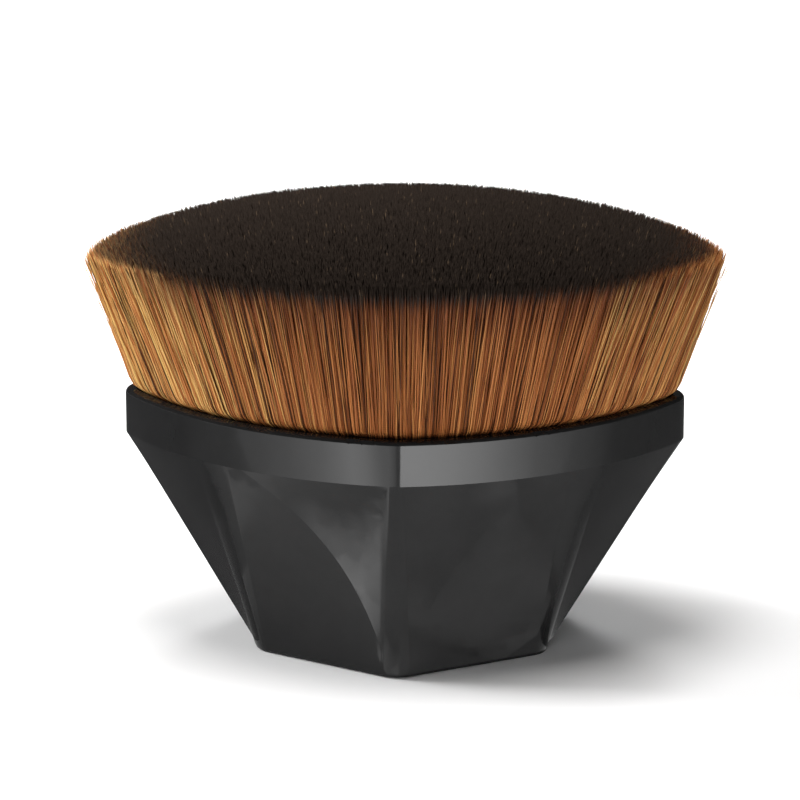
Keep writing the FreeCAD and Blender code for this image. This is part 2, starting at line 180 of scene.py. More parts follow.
class StudioSettings(bpy.types.PropertyGroup):
    camera_place: FloatVectorProperty(
        name="Camera", description="Where the camera stands", subtype="TRANSLATION", unit="LENGTH",
        size=3, default=(0.018145, -0.399588, 0.1353),
    )
    camera_aim: FloatVectorProperty(
        name="Camera aim", description="Point in the middle of the picture", subtype="TRANSLATION",
        unit="LENGTH", size=3, default=(-0.0004, 0.0, 0.02175),
    )
    focal_length: FloatProperty(
        name="Focal length", description="Lens, on a sensor 36 mm wide, in millimetres",
        default=204.3, min=10.0, max=1000.0,
    )


def metres(sizes):
    """Sizes given in millimetres, in metres."""
    return tuple(size * MM for size in sizes)


def way_between(value, start, end):
    """How far a value has come from a start to an end, from 0 to 1."""
    return np.clip((value - start) / (end - start), 0.0, 1.0)


def clear_selection():
    """Leave nothing selected and nothing active."""
    if bpy.context.mode != "OBJECT":
        bpy.ops.object.mode_set(mode="OBJECT")
    bpy.ops.object.select_all(action="DESELECT")
    bpy.context.view_layer.objects.active = None


def make_active(piece):
    """Leave one piece selected and active."""
    clear_selection()
    piece.select_set(True)
    bpy.context.view_layer.objects.active = piece


def dress(piece, material, slot_name, *nodes):
    """Give a finished piece its material and say where it belongs."""
    piece.data.materials.clear()
    piece.data.materials.append(material)
    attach(piece, BODY)
    if nodes:
        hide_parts(*nodes)


class NodeSheet:
    """A node tree with short ways to add nodes and links."""

    PER_ROW = 12
    COLUMN_WIDTH = 180
    ROW_HEIGHT = 220

    def __init__(self, tree):
        self.tree = tree
        self.count = 0

    def add(self, kind, **settings):
        node = self.tree.nodes.new(kind)
        self.count += 1
        row, column = divmod(self.count, self.PER_ROW)
        node.location = (self.COLUMN_WIDTH * column, -self.ROW_HEIGHT * row)
        for key, value in settings.items():
            setattr(node, key, value)
        return node

    def join(self, source, target):
        self.tree.links.new(source, target)

    def split(self, vector):
        """The parts of a vector, as sockets X, Y and Z."""
        node = self.add("ShaderNodeSeparateXYZ")
        self.join(vector, node.inputs[0])
        return node.outputs

    def feed(self, socket, value):
        """Link a socket to another, or set its own value."""
        if isinstance(value, bpy.types.NodeSocket):
            self.join(value, socket)
        else:
            socket.default_value = value

    def math(self, operation, first, second=None):
        node = self.add("ShaderNodeMath", operation=operation)
        self.feed(node.inputs[0], first)
        if second is not None:
            self.feed(node.inputs[1], second)
        return node.outputs[0]

    def span(self, value, low, high, out_low=0.0, out_high=1.0, smooth=True):
        """A value spread from one range over another."""
        node = self.add("ShaderNodeMapRange")
        node.interpolation_type = "SMOOTHSTEP" if smooth else "LINEAR"
        for name, item in (
            ("Value", value), ("From Min", low), ("From Max", high), ("To Min", out_low), ("To Max", out_high)
        ):
            self.feed(node.inputs[name], item)
        return node.outputs["Result"]

    def mix(self, factor, first, second, blend="MIX"):
        node = self.add("ShaderNodeMix", data_type="RGBA", blend_type=blend)
        self.feed(node.inputs["Factor"], factor)
        for key, value in (("A_Color", first), ("B_Color", second)):
            socket = next(item for item in node.inputs if item.identifier == key)
            self.feed(socket, value if isinstance(value, bpy.types.NodeSocket) else (*value, 1.0))
        return next(item for item in node.outputs if item.identifier == "Result_Color")

    def ramp(self, value, stops):
        """A colour ramp through (place, colour) stops."""
        node = self.add("ShaderNodeValToRGB")
        elements = node.color_ramp.elements
        while len(elements) < len(stops):
            elements.new(0.5)
        for element, (place, colour) in zip(elements, stops):
            element.position = place
            element.color = (*colour, 1.0)
        self.join(value, node.inputs["Fac"])
        return node.outputs["Color"]

    def noise(self, place, scale, detail=2.0, roughness=0.5):
        node = self.add("ShaderNodeTexNoise")
        self.join(place, node.inputs["Vector"])
        node.inputs["Scale"].default_value = scale
        node.inputs["Detail"].default_value = detail
        node.inputs["Roughness"].default_value = roughness
        return node.outputs["Fac"]

    def group(self, tree, **values):
        node = self.add("ShaderNodeGroup")
        node.node_tree = tree
        for name, value in values.items():
            self.feed(node.inputs[name.replace("_", " ")], value)
        return node.outputs


def new_group(name, inputs, outputs):
    """An empty shader node group with named sockets, and the sheet, inputs and outputs to fill it in."""
    tree = bpy.data.node_groups.new(name, "ShaderNodeTree")
    for label, kind, default in inputs:
        socket = tree.interface.new_socket(name=label, in_out="INPUT", socket_type=f"NodeSocket{kind}")
        if default is not None:
            socket.default_value = default
    for label, kind in outputs:
        tree.interface.new_socket(name=label, in_out="OUTPUT", socket_type=f"NodeSocket{kind}")
    sheet = NodeSheet(tree)
    entry = sheet.add("NodeGroupInput")
    leave = sheet.add("NodeGroupOutput")
    return tree, sheet, entry.outputs, leave.inputs


def moulded_grain_group():
    """Fine pebbled surface of moulded plastic, with slow changes of gloss."""
    name = "Moulded grain"
    if name in bpy.data.node_groups:
        return bpy.data.node_groups[name]
    tree, sheet, given, out = new_group(
        name,
        [("Place", "Vector", None), ("Grain scale", "Float", 4000.0), ("Gloss", "Float", 0.2),
         ("Gloss spread", "Float", 0.05)],
        [("Height", "Float"), ("Roughness", "Float"), ("Mottle", "Float")],
    )
    grain = sheet.add("ShaderNodeTexNoise")
    sheet.join(given["Place"], grain.inputs["Vector"])
    sheet.join(given["Grain scale"], grain.inputs["Scale"])
    grain.inputs["Detail"].default_value = 3.0
    cloud = sheet.noise(given["Place"], scale=260.0, detail=4.0, roughness=0.6)
    sheet.join(grain.outputs["Fac"], out["Height"])
    swing = sheet.math("SUBTRACT", cloud, 0.5)
    swing = sheet.math("MULTIPLY", swing, given["Gloss spread"])
    sheet.join(sheet.math("ADD", swing, given["Gloss"]), out["Roughness"])
    sheet.join(cloud, out["Mottle"])
    return tree


def panel_crescent_group():
    """Normals of the crescents on the left half, leaned further up than their cut alone leans them."""
    name = "Panel crescent"
    if name in bpy.data.node_groups:
        return bpy.data.node_groups[name]
    tree, sheet, given, out = new_group(
        name,
        [("Place", "Vector", None), ("Normal", "Vector", None), ("Lean", "Float", 0.2)],
        [("Normal", "Vector")],
    )
    parts = sheet.split(given["Place"])
    aside = sheet.math("ABSOLUTE", parts["X"])
    across = sheet.math("SUBTRACT", aside, ARC_ASIDE * MM)
    height = sheet.math("SUBTRACT", parts["Z"], ARC_LEVEL * MM)
    squares = [sheet.math("POWER", side, 2.0) for side in (across, height)]
    away = sheet.math("SQRT", sheet.math("ADD", *squares))
    beyond = sheet.math("SUBTRACT", away, ARC_RADIUS * MM)
    share = sheet.math("POWER", sheet.math("DIVIDE", beyond, LEAN_FADE * MM), 2.0)
    lean = sheet.math("EXPONENT", sheet.math("MULTIPLY", share, -1.0))
    for mask in (
        sheet.span(beyond, *metres(LEAN_START)),
        sheet.span(aside, *metres(LEAN_RIDGE)),
        sheet.span(aside, *metres(LEAN_THIN), out_low=1.0, out_high=LEAN_THIN_SHARE),
        sheet.math("LESS_THAN", parts["Z"], (BAND_LEVEL - LEAN_BAND_GAP) * MM),
        sheet.math("LESS_THAN", parts["X"], 0.0),
        given["Lean"],
    ):
        lean = sheet.math("MULTIPLY", lean, mask)
    upward = sheet.add("ShaderNodeCombineXYZ")
    sheet.join(lean, upward.inputs["Z"])
    leaning = sheet.add("ShaderNodeVectorMath", operation="ADD")
    sheet.join(given["Normal"], leaning.inputs[0])
    sheet.join(upward.outputs[0], leaning.inputs[1])
    unit = sheet.add("ShaderNodeVectorMath", operation="NORMALIZE")
    sheet.join(leaning.outputs[0], unit.inputs[0])
    sheet.join(unit.outputs[0], out["Normal"])
    return tree


def new_material(name):
    """An empty material with a Principled shader: the sheet, the shader and the Object coordinates."""
    material = bpy.data.materials.new(name)
    material.use_nodes = True
    material.node_tree.nodes.clear()
    sheet = NodeSheet(material.node_tree)
    place = sheet.add("ShaderNodeTexCoord").outputs["Object"]
    shader = sheet.add("ShaderNodeBsdfPrincipled")
    output = sheet.add("ShaderNodeOutputMaterial")
    sheet.join(shader.outputs["BSDF"], output.inputs["Surface"])
    return material, sheet, shader, place


def bump_from(sheet, shader, height, strength, distance, normal=None):
    """Feed the shader's normal from a bump, on top of another normal where one is given."""
    bump = sheet.add("ShaderNodeBump")
    bump.inputs["Strength"].default_value = strength
    bump.inputs["Distance"].default_value = distance
    sheet.join(height, bump.inputs["Height"])
    if normal is not None:
        sheet.join(normal, bump.inputs["Normal"])
    sheet.join(bump.outputs["Normal"], shader.inputs["Normal"])


def moulded_plastic(name, colour, roughness, spread, grain_scale, grain_depth, shine, lean=None):
    """Black moulded plastic: fine grain and slow changes of tone and gloss."""
    material, sheet, shader, place = new_material(name)
    grain = sheet.group(
        moulded_grain_group(), Place=place, Grain_scale=grain_scale, Gloss=roughness, Gloss_spread=spread
    )
    shade = sheet.span(grain["Mottle"], *CLOUD_RANGE)
    darker, lighter = (tuple(times * part for part in colour) for times in (0.9, 1.1))
    sheet.join(sheet.mix(shade, darker, lighter), shader.inputs["Base Color"])
    sheet.join(grain["Roughness"], shader.inputs["Roughness"])
    shader.inputs["IOR"].default_value = POLYMER_IOR
    shader.inputs["Specular IOR Level"].default_value = shine
    normal = None
    if lean is not None:
        facing = sheet.add("ShaderNodeNewGeometry").outputs["Normal"]
        normal = sheet.group(panel_crescent_group(), Place=place, Normal=facing, Lean=lean)["Normal"]
    bump_from(sheet, shader, grain["Height"], grain_depth, distance=0.00005, normal=normal)
    return material


def mark_sharp_level(piece, level):
    """Keep the edges that lie flat at a height crisp."""
    for edge in piece.data.edges:
        if all(abs(piece.data.vertices[corner].co.z - level) < SAME_POINT for corner in edge.vertices):
            edge.use_edge_sharp = True


def arc_beyond(place):
    """How far a point of a long panel lies beyond its arc, on the ridge's side, in metres."""
    return math.hypot(abs(place.x) - ARC_ASIDE * MM, place.z - ARC_LEVEL * MM) - ARC_RADIUS * MM


def arc_point(side, turn):
    """A point of the arc on one side, in metres, in the plane through the brush's middle."""
    across = ARC_ASIDE - ARC_RADIUS * math.cos(turn)
    height = ARC_LEVEL + ARC_RADIUS * math.sin(turn)
    return Vector((side * across, 0.0, height)) * MM


def on_long_panel(face):
    """Whether a face of the skin lies on one of the four long panels at the front and back."""
    centre = face.calc_center_median()
    outward = face.normal.y * math.copysign(1.0, centre.y)
    beside = abs(centre.x) < PANEL_HALF_WIDTH * MM and abs(centre.y) > PANEL_NEAREST * MM
    return beside and centre.z < BAND_LEVEL * MM and outward > PANEL_FACING


def meets_chord(face, first, second):
    """Whether a face reaches into the box of a chord of the arc, seen from the front."""
    across = [corner.co.x for corner in face.verts]
    up = [corner.co.z for corner in face.verts]
    left, right = sorted((first.x, second.x))
    return min(across) < right and max(across) > left and min(up) < second.z and max(up) > first.z


def cut_crescents(piece, depth):
    """Cut the long panels along their arcs and sink the crescents beside the ridges a little."""
    work = bmesh.new()
    work.from_mesh(piece.data)
    work.normal_update()
    for side in (-1.0, 1.0):
        arc = [arc_point(side, turn) for turn in ARC_TURNS]
        for first, second in zip(arc, arc[1:]):
            chord = second - first
            crossed = [
                face for face in work.faces if on_long_panel(face) and meets_chord(face, first, second)
            ]
            touched = dict.fromkeys(crossed)
            for face in crossed:
                touched.update(dict.fromkeys((*face.edges, *face.verts)))
            bmesh.ops.bisect_plane(
                work, geom=list(touched), dist=ARC_SNAP, plane_co=first,
                plane_no=Vector((chord.z, 0.0, -chord.x)),
            )
    work.normal_update()
    sunk = []
    for vertex in work.verts:
        beyond = arc_beyond(vertex.co)
        if beyond <= 0.0 or not any(on_long_panel(face) for face in vertex.link_faces):
            continue
        share = 1.0 - math.exp(-beyond / (SINK_OVER * MM))
        share *= np.interp(abs(vertex.co.x) / MM, *SINK_ASIDE)
        share *= np.interp(vertex.co.z / MM, *SINK_LEVELS)
        sunk.append((vertex, vertex.co - vertex.normal * (depth * share)))
    for vertex, place in sunk:
        vertex.co = place
    bmesh.ops.triangulate(work, faces=[face for face in work.faces if len(face.verts) > 4])
    work.to_mesh(piece.data)
    work.free()


def mark_sharp_arcs(piece):
    """Keep the edges along the arcs crisp."""
    corners = piece.data.vertices
    for edge in piece.data.edges:
        ends = [corners[index].co for index in edge.vertices]
        if all(
            abs(end.x) < ARC_SHARP_HALF_WIDTH * MM
            and abs(end.y) > PANEL_NEAREST * MM
            and abs(arc_beyond(end)) < ARC_SHARP_GAP * MM
            for end in ends
        ):
            edge.use_edge_sharp = True


class KABUKI_OT_handle(bpy.types.Operator):
    """Make the moulded handle: a smooth skin of the shell, with its crescents, in satin black plastic"""

    bl_idname = "kabuki.handle"
    bl_label = "Handle"

    def execute(self, context):
        settings = context.scene.kabuki_handle
        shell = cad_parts["handle_shell"]
        clear_selection()
        skin = bpy.data.objects.new("handle_body", shell.data.copy())
        context.scene.collection.objects.link(skin)
        make_active(skin)
        bpy.ops.object.mode_set(mode="EDIT")
        bpy.ops.mesh.select_all(action="SELECT")
        bpy.ops.mesh.remove_doubles(threshold=SAME_POINT)
        bpy.ops.object.mode_set(mode="OBJECT")
        bpy.ops.mesh.customdata_custom_splitnormals_clear()
        cut_crescents(skin, settings.crescent_depth)
        bpy.ops.object.shade_smooth_by_angle(angle=math.radians(24.0))
        mark_sharp_level(skin, BAND_LEVEL * MM)
        mark_sharp_arcs(skin)
        even = skin.modifiers.new("even_faces", "WEIGHTED_NORMAL")
        even.keep_sharp = True
        even.weight = 100
        bpy.ops.object.modifier_apply(modifier=even.name)
        plastic = moulded_plastic(
            "satin_black_plastic", settings.plastic_colour, settings.roughness, spread=0.02,
            grain_scale=1.0 / settings.grain_size, grain_depth=settings.grain_depth,
            shine=settings.shine, lean=settings.crescent_lean,
        )
        dress(skin, plastic, "handle_plastic", "handle_shell")
        return {"FINISHED"}


def cured_glue(name, colour):
    """Amber glue with cloudy depth and a wavy skin."""
    material, sheet, shader, place = new_material(name)
    cloud = sheet.noise(place, scale=180.0, detail=4.0, roughness=0.6)
    darker = tuple(0.6 * part for part in colour)
    sheet.join(sheet.mix(cloud, darker, colour), shader.inputs["Base Color"])
    sheet.join(sheet.span(cloud, *CLOUD_RANGE, out_low=0.22, out_high=0.4), shader.inputs["Roughness"])
    bump_from(sheet, shader, sheet.noise(place, scale=700.0), strength=0.3, distance=0.0002)
    return material


def wound_thread(name, colour):
    """Turns of dark thread, as ridges one above the other."""
    material, sheet, shader, place = new_material(name)
    wave = sheet.add("ShaderNodeTexWave", wave_type="BANDS", bands_direction="Z")
    sheet.join(place, wave.inputs["Vector"])
    wave.inputs["Scale"].default_value = 1300.0
    wave.inputs["Distortion"].default_value = 0.6
    ridge = wave.outputs["Fac"]
    lighter = tuple(min(1.0, 2.2 * part) for part in colour)
    sheet.join(sheet.mix(ridge, colour, lighter), shader.inputs["Base Color"])
    sheet.join(sheet.span(ridge, 0.0, 1.0, out_low=0.85, out_high=0.6), shader.inputs["Roughness"])
    bump_from(sheet, shader, ridge, strength=0.6, distance=0.0001)
    return material


class KABUKI_OT_inner_parts(bpy.types.Operator):
    """Finish the pieces that are glued inside the handle: cup, glue, bed and binding"""

    bl_idname = "kabuki.inner_parts"
    bl_label = "Inner parts"

    def execute(self, context):
        cup = moulded_plastic(
            "matt_cup_plastic", colour=(0.015, 0.015, 0.015), roughness=0.55, spread=0.1,
            grain_scale=2600.0, grain_depth=0.08, shine=0.5,
        )
        glue = cured_glue("cured_amber_glue", colour=(0.55, 0.47, 0.3))
        thread = wound_thread("wound_dark_thread", colour=(0.06, 0.05, 0.045))
        for node, material in (
            ("tuft_cup", cup), ("seat_glue", glue), ("adhesive_bed", glue), ("root_binding", thread)
        ):
            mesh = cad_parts[node].data
            mesh.materials.clear()
            mesh.materials.append(material)
        return {"FINISHED"}


class Oval:
    """A quarter of an outline, by share of its length: half an end arc and a long arc with a slight peak."""

    LONG_STEPS = 400
    END_STEPS = 200

    def __init__(self, half_width, half_depth, end_radius, peak):
        reach = half_width - end_radius
        room = half_depth * math.cos(peak) - reach * math.sin(peak) - end_radius
        side = (reach**2 + half_depth**2 - end_radius**2) / (2.0 * room)
        centre_x = -side * math.sin(peak)
        centre_y = side * math.cos(peak) - half_depth
        touch = math.atan2(reach - centre_x, centre_y)
        turn = np.linspace(peak, touch, self.LONG_STEPS)
        end_turn = np.linspace(touch, math.pi / 2, self.END_STEPS)[1:]
        x = np.concatenate((centre_x + side * np.sin(turn), reach + end_radius * np.sin(end_turn)))
        y = np.concatenate((side * np.cos(turn) - centre_y, end_radius * np.cos(end_turn)))
        x[0] = 0.0
        y[-1] = 0.0
        length = np.concatenate(([0.0], np.cumsum(np.hypot(np.diff(x), np.diff(y)))))
        self.x = x
        self.y = y
        self.share = length / length[-1]
        self.angle = np.arctan2(x, y)
        self.radius = np.hypot(x, y)

    def polar(self, points):
        """Share along the quarter and part of the way out, for points given as x and y."""
        angle = np.arctan2(np.abs(points[:, 0]), np.abs(points[:, 1]))
        share = np.interp(angle, self.angle, self.share)
        out = np.hypot(points[:, 0], points[:, 1]) / np.interp(angle, self.angle, self.radius)
        return share, out

    def place(self, share, out, signs):
        """Points at shares along the quarter, part of the way out, in the quarters that the signs give."""
        x = np.interp(share, self.share, self.x) * out
        y = np.interp(share, self.share, self.y) * out
        return np.stack((x, y), axis=1) * signs


TIP_OVAL = Oval(RIM_HALF_WIDTH + TIP_SPREAD_WIDTH, RIM_HALF_DEPTH + TIP_SPREAD_DEPTH, TIP_END_RADIUS, 0.0)
SPILL_OVAL = Oval(RIM_HALF_WIDTH - SPILL_INSET, RIM_HALF_DEPTH - SPILL_INSET, RIM_END_RADIUS, RIM_PEAK)


def dome_level(x, y):
    """Height of the crown's dome over a point."""
    return CROWN_LEVEL - DOME_RADIUS + np.sqrt(DOME_RADIUS**2 - x**2 - y**2)


# How the filaments stand, in millimetres, as spreads of their draws and shares of their number
GRID_HALF_WIDTH = 31.0
GRID_HALF_DEPTH = 22.0
GRID_ROW_RATIO = 0.866
GRID_JITTER = 0.4
CLUMPS = ((3.0, 0.12), (1.0, 0.1))
CLUMP_WAVES = 10
CLUMP_PERIODS = (0.7, 1.6)
LOOSE_LEAN = 0.24
LOOSER_SHARE = 0.08
LOOSER_TIMES = 2.4
BOW = 0.09
TIP_RISE = 0.55
TIP_UNEVEN = 0.05
RAISED_SHARE = 0.02
RAISED_BY = 0.15
EDGE_RING = (0.9, 1.0)
EDGE_DROP = 0.3
FULLER_END = 0.35
FULLER_SPAN = (12.0, 30.0)
RADIUS_RANGE = (0.38, 0.62)
# How a filament at the edge bends in over the lip, by its level, down to a depth in the tuft
LIP_LEVELS = (21.9, 22.5, 22.85, 23.2, 23.8)
LIP_SHIFTS = (1.45, 0.85, 0.42, 0.13, 0.0)
LIP_DEPTH = 6.0
# Tints of the filaments, as places on the ramp of shaft tints, and how many have them; lighter tints towards
# the ends are painted light, and the near-black ones painted shade of the gaps between strands
BRIGHT_SHARE = 0.5
BRIGHT_TINTS = (0.42, 0.65)
DULL_TINTS = (0.1, 0.28)
LEFT_LIT_SPAN = (4.0, 24.0)
LEFT_PAINTED_LIGHT = 0.37
RIGHT_LIT_SPAN = (17.0, 28.0)
RIGHT_PAINTED_LIGHT = 0.2
TINT_MOST = 0.97
GAP_SHADE_SHARE = 0.15
GAP_SHADE_SHARE_LESS = 0.06
GAP_SHADE_TINTS = (0.0, 0.06)
PALE_RING = 0.985
PALE_SHARE_RING = 0.02
PALE_SHARE = 0.008
PALE_TINTS = (0.985, 0.999)
# Where the dye line lies higher, as painted light on the outer tips of both ends and of the back edge: rings
# by part of the way out, lifts and levels in millimetres
END_SPAN = (21.0, 27.0)
END_LIFT = 1.5
LEFT_RING = (0.968, 0.998)
LEFT_SKIN = (0.982, 0.996)
RIGHT_RING = (0.94, 0.995)
BACK_RING = (0.97, 1.0)
BACK_LIFT = 1.4
LIFT_LEVELS = (25.0, 31.0)


def smooth_field(points, random, period):
    """Soft random shifts in x and y that neighbours share, about one millimetre strong."""
    shift = np.zeros_like(points)
    for _ in range(CLUMP_WAVES):
        heading = random.uniform(0.0, 2.0 * math.pi)
        wave = 2.0 * math.pi / (period * random.uniform(*CLUMP_PERIODS))
        phase = random.uniform(0.0, 2.0 * math.pi)
        push = random.normal(0.0, 1.0, 2)
        along = points[:, 0] * math.cos(heading) + points[:, 1] * math.sin(heading)
        shift += np.sin(along * wave + phase)[:, None] * push
    return shift / math.sqrt(CLUMP_WAVES)


class Tuft:
    """Where every filament starts, leans and ends, in millimetres, from one seeded set of draws."""

    def __init__(self, settings):
        random = np.random.default_rng(settings.seed)
        self.set_out(settings.spacing / MM, random)
        self.lean_and_trim(settings.thickness / MM, random)
        self.tint_strands(random)
        self.turn = random.uniform(0.0, 2.0 * math.pi, len(self.out))
        self.lift_dye_as_painted_light()
        self.side = self.depth < settings.side_depth / MM

    def set_out(self, spacing, random):
        """Spread the tips evenly over the crown and find each filament's root."""
        columns = np.arange(-GRID_HALF_WIDTH, GRID_HALF_WIDTH, spacing)
        rows = np.arange(-GRID_HALF_DEPTH, GRID_HALF_DEPTH, spacing * GRID_ROW_RATIO)
        x, y = np.meshgrid(columns, rows)
        x = x + (np.arange(len(rows)) % 2)[:, None] * spacing / 2
        points = np.stack((x.ravel(), y.ravel()), axis=1)
        points += random.uniform(-GRID_JITTER, GRID_JITTER, points.shape) * spacing
        share, out = TIP_OVAL.polar(points)
        kept = out < 1.0
        points, share, out = points[kept], share[kept], out[kept]
        self.out = out
        self.tip_plane = points
        self.root = SPILL_OVAL.place(share, out, np.where(points < 0.0, -1.0, 1.0))
        self.depth = (1.0 - out) * np.hypot(points[:, 0], points[:, 1]) / np.maximum(out, TINY)
        normal = points / np.array((RIM_HALF_WIDTH, RIM_HALF_DEPTH)) ** 2
        self.normal = normal / np.maximum(np.linalg.norm(normal, axis=1), TINY)[:, None]

    def lean_and_trim(self, thickness, random):
        """Lean, bow and trim each filament, and give it its thickness."""
        points = self.tip_plane
        count = len(points)
        clump = sum(smooth_field(points, random, period) * push for period, push in CLUMPS)
        loose = random.normal(0.0, LOOSE_LEAN, (count, 2))
        loose *= np.where(random.random(count) < LOOSER_SHARE, LOOSER_TIMES, 1.0)[:, None]
        self.lean = clump + loose
        self.bow = random.normal(0.0, BOW, (count, 2))
        uneven = random.normal(0.0, TIP_UNEVEN, count)
        uneven += np.where(random.random(count) < RAISED_SHARE, RAISED_BY, 0.0)
        edge = way_between(self.out, *EDGE_RING)
        fuller_end = FULLER_END * way_between(points[:, 0], *FULLER_SPAN) ** 2
        level = dome_level(points[:, 0], points[:, 1])
        self.tip_level = level + TIP_RISE - EDGE_DROP * edge**3 + fuller_end + uneven
        self.radius = thickness * random.uniform(*RADIUS_RANGE, count)

    def tint_strands(self, random):
        """Give each filament its tint: lighter at the ends as painted light, some of them near-black as
        painted shade of the gaps between strands, and a few pale.
        """
        x = self.tip_plane[:, 0]
        count = len(x)
        left_lit_end = way_between(-x, *LEFT_LIT_SPAN)
        right_lit_end = way_between(x, *RIGHT_LIT_SPAN)
        bright = random.random(count) < BRIGHT_SHARE
        strand = np.where(bright, random.uniform(*BRIGHT_TINTS, count), random.uniform(*DULL_TINTS, count))
        # Painted light: filaments towards the lit ends get lighter tints
        self.tint = np.minimum(strand + LEFT_PAINTED_LIGHT * left_lit_end + RIGHT_PAINTED_LIGHT * right_lit_end, TINT_MOST)
        # Painted shade: a share of filaments gets near-black tints for the shaded gaps between strands, fewer
        # at the lit left end
        dark = random.random(count) < GAP_SHADE_SHARE - GAP_SHADE_SHARE_LESS * left_lit_end
        self.tint[dark] = random.uniform(*GAP_SHADE_TINTS, np.count_nonzero(dark))
        pale = random.random(count) < np.where(self.out > PALE_RING, PALE_SHARE_RING, PALE_SHARE)
        self.tint[pale] = random.uniform(*PALE_TINTS, np.count_nonzero(pale))

    def lift_dye_as_painted_light(self):
        """Raise the line of the dye on the outer filaments of both ends and of the back edge, so that their
        tips show lighter: painted light of the lit ends and painted glow of the backlit back edge.
        """
        x, y = self.tip_plane.T
        end = way_between(np.abs(x), *END_SPAN)
        left, skin, right, back = (
            way_between(self.out, *ring) for ring in (LEFT_RING, LEFT_SKIN, RIGHT_RING, BACK_RING)
        )
        end_lift = END_LIFT * end * np.where(x < 0.0, left + skin, right)
        self.painted_light_dye_lift = end_lift + BACK_LIFT * (1.0 - end) * np.where(y > 0.0, back, 0.0)

    def points_at(self, chosen, levels):
        """Middle of each chosen filament at its own levels: an array of filament, level and coordinate."""
        way = (levels - SPILL_LEVEL) / (CROWN_LEVEL - SPILL_LEVEL)
        rise = np.clip(way, 0.0, None)
        root = self.root[chosen][:, None, :]
        tip = self.tip_plane[chosen][:, None, :]
        flat = root + (tip - root) * way[:, :, None]
        flat = flat + self.lean[chosen][:, None, :] * (rise**1.5)[:, :, None]
        flat = flat + self.bow[chosen][:, None, :] * (4.0 * rise * (1.0 - rise))[:, :, None]
        near_edge = 1.0 - way_between(self.depth[chosen], 0.0, LIP_DEPTH)
        inward = np.interp(levels, LIP_LEVELS, LIP_SHIFTS) * near_edge[:, None]
        flat = flat - self.normal[chosen][:, None, :] * inward[:, :, None]
        return np.concatenate((flat, levels[:, :, None]), axis=2)


MAP_MARGIN = 0.001
MAP_SPAN = 1.0 - 2.0 * MAP_MARGIN
MAP_STRIP = 0.008


def filament_mesh(name, middles, radii, turn, tint, painted_light_dye_lift, low):
    """One mesh of closed three-sided filaments.

    middles holds filament, ring and coordinate, radii filament and ring. The last ring is the tip, one point.
    The map gives each filament a narrow strip: across for its tint, up for its height between low and the
    highest tips, less the lift of its dye line that paints light on the outer tips.
    """
    count, rings, _ = middles.shape
    body = rings - 1
    spin = turn[:, None] + np.arange(3)[None, :] * (2.0 * math.pi / 3.0)
    across = np.stack((np.cos(spin), np.sin(spin), np.zeros_like(spin)), axis=2)
    walls = middles[:, :body, None, :] + across[:, None, :, :] * radii[:, :body, None, None]
    verts = np.concatenate((walls.reshape(count, body * 3, 3), middles[:, body:, :]), axis=1)
    per_filament = body * 3 + 1

    faces = []
    corner_ring = []
    corner_side = []
    for ring in range(body - 1):
        for side in range(3):
            after = (side + 1) % 3
            faces.append((ring * 3 + side, ring * 3 + after, ring * 3 + 3 + after, ring * 3 + 3 + side))
            corner_ring.append((ring, ring, ring + 1, ring + 1))
            corner_side.append((0.0, 1.0, 1.0, 0.0))
    for side in range(3):
        after = (side + 1) % 3
        faces.append(((body - 1) * 3 + side, (body - 1) * 3 + after, body * 3))
        corner_ring.append((body - 1, body - 1, body))
        corner_side.append((0.0, 1.0, 0.5))
    faces.append((2, 1, 0))
    corner_ring.append((0, 0, 0))
    corner_side.append((0.0, 1.0, 0.5))

    sizes = np.array([len(face) for face in faces])
    corners = np.array([corner for face in faces for corner in face])
    rings_of = np.array([ring for face in corner_ring for ring in face])
    sides_of = np.array([side for face in corner_side for side in face])
    shift = np.arange(count)[:, None] * per_filament
    loops = (corners[None, :] + shift).ravel()
    starts = np.concatenate(([0], np.cumsum(np.tile(sizes, count))[:-1]))

    mesh = bpy.data.meshes.new(name)
    mesh.vertices.add(count * per_filament)
    mesh.vertices.foreach_set("co", (verts * MM).astype(np.float32).ravel())
    mesh.loops.add(len(loops))
    mesh.loops.foreach_set("vertex_index", loops.astype(np.int32))
    mesh.polygons.add(len(starts))
    mesh.polygons.foreach_set("loop_start", starts.astype(np.int32))
    mesh.update(calc_edges=True)
    mesh.polygons.foreach_set("use_smooth", np.ones(len(starts), dtype=bool))

    # Painted light: the dye line of the outer filaments lies higher, so their tips show lighter
    level = middles[:, :, 2] - painted_light_dye_lift[:, None] * way_between(middles[:, :, 2], *LIFT_LEVELS)
    height = way_between(level, low, TIP_HIGH)
    across_map = MAP_MARGIN + tint[:, None] * (MAP_SPAN - MAP_STRIP) + sides_of[None, :] * MAP_STRIP
    upward_map = MAP_MARGIN + height[:, rings_of] * MAP_SPAN
    layer = mesh.uv_layers.new(name=BAKE_MAP)
    layer.data.foreach_set("uv", np.stack((across_map, upward_map), axis=2).astype(np.float32).ravel())
    mesh.validate()
    piece = bpy.data.objects.new(name, mesh)
    bpy.context.scene.collection.objects.link(piece)
    return piece


# Stops up to 0.06 are the near-black tints that paint the shade of the gaps between strands
SHAFT_TINTS = (
    (0.0, (0.05, 0.017, 0.006)),
    (0.06, (0.08, 0.026, 0.009)),
    (0.1, (0.22, 0.067, 0.019)),
    (0.35, (0.38, 0.123, 0.037)),
    (0.6, (0.54, 0.208, 0.064)),
    (0.77, (0.66, 0.34, 0.105)),
    (0.97, (0.8, 0.53, 0.185)),
    (0.98, (0.52, 0.22, 0.066)),
)
# Painted shade at the roots, where the gap between the tuft and the rim lies in shadow
ROOT_SHADE_COLOUR = (0.014, 0.009, 0.007)
ROOT_SHADE_SPAN = (RIM_LEVEL - 0.5, RIM_LEVEL + 0.3)
PALE_TIP_COLOUR = (0.11, 0.075, 0.048)
PALE_SPAN = (0.976, 0.983)
STAIN_GAP = 0.8
WOBBLE = 0.35
WOBBLE_RATE = 173.0


